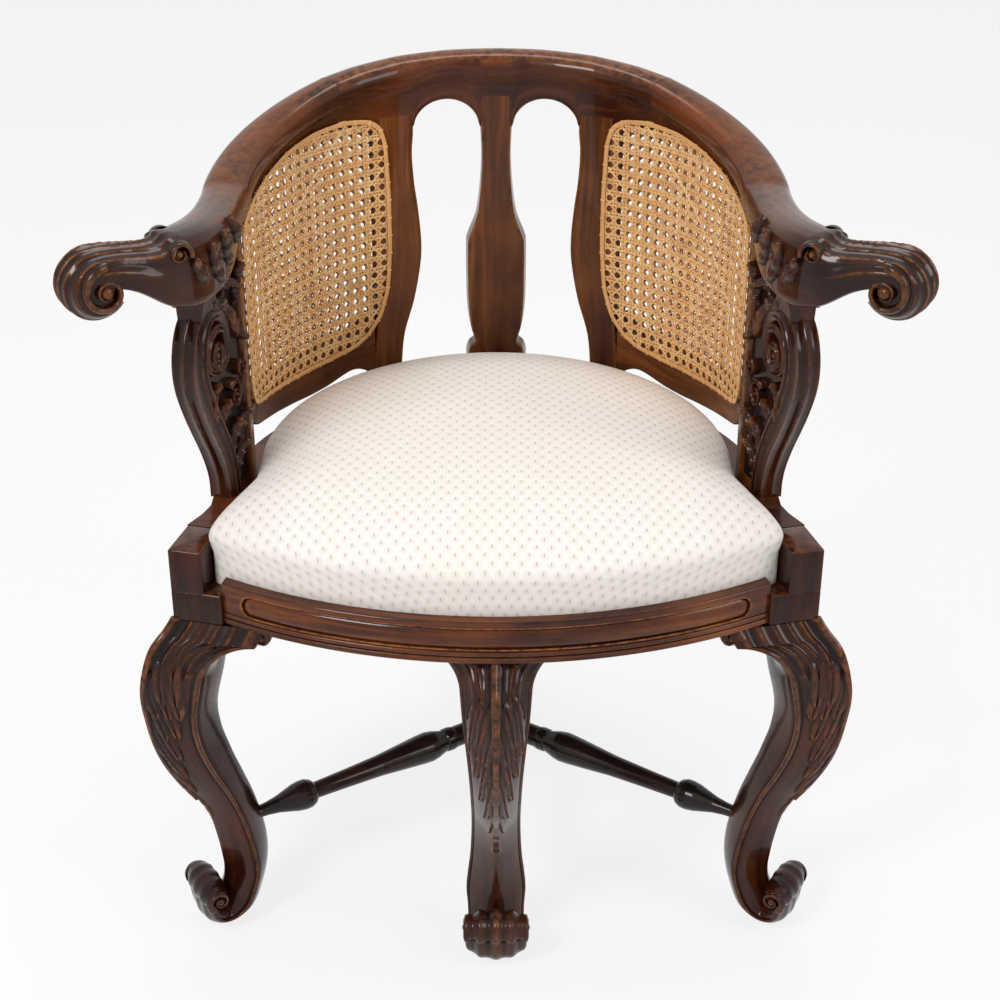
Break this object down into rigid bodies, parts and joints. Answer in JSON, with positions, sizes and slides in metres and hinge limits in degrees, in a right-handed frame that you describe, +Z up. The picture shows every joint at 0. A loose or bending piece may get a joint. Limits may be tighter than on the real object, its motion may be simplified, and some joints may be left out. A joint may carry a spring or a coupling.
{
  "type": "desk chair",
  "caption": "Tub-shaped desk chair with scrolled arms, caned side panels, a pierced splat back, a lift-out upholstered seat and carved cabriole legs joined by a turned cross stretcher.",
  "frame": {"origin": "on the floor, below the middle of the stretchers' boss and the middle of the bounding box", "axes": "+X to the right as seen from the front, +Y to the back, +Z up"},
  "size_m": [0.7622, 0.6158, 0.804],
  "materials": {
    "mahogany": "french polished mahogany, worn at the edges",
    "dark_mahogany": "dark polished mahogany",
    "beech": "plain sawn beech",
    "cane": "clear lacquered cane",
    "steel": "plain steel",
    "dark_steel": "darkened steel",
    "seat_cover": "woven cream cloth with a small dash motif",
    "webbing": "jute webbing",
    "dust_cloth": "thin black cloth"
  },
  "bodies": {
    "frame": {"leg_front": "mahogany", "leg_back": "mahogany", "leg_left": "mahogany", "leg_right": "mahogany", "glides": "dark_steel", "leg_dowels": "beech", "front_rail": "mahogany", "side_rail_left": "mahogany", "side_rail_right": "mahogany", "glue_blocks": "beech", "rail_screws": "steel", "stretcher_front": "dark_mahogany", "stretcher_back": "dark_mahogany", "stretcher_left": "dark_mahogany", "stretcher_right": "dark_mahogany", "stretcher_boss": "dark_mahogany", "stile_front_left": "mahogany", "stile_front_right": "mahogany", "stile_back_left": "mahogany", "stile_back_right": "mahogany", "splat": "mahogany", "panel_rail_left": "mahogany", "panel_rail_right": "mahogany", "crest_rail": "mahogany", "arm_left": "mahogany", "arm_right": "mahogany", "arm_dowels": "beech", "arm_support_left": "dark_mahogany", "arm_support_right": "dark_mahogany", "cane_front_left": "cane", "cane_front_right": "cane", "cane_back_left": "cane", "cane_back_right": "cane", "binding_left": "cane", "binding_right": "cane"},
    "seat": {"seat_member_front": "beech", "seat_member_back": "beech", "seat_member_left": "beech", "seat_member_right": "beech", "webbing": "webbing", "cushion": "seat_cover", "dust_cloth": "dust_cloth"}
  },
  "joints": [
    {"name": "seat_lift", "type": "slide", "parent": "frame", "child": "seat", "axis": [0, 0, 1], "range_m": [0, 0.12]}
  ]
}
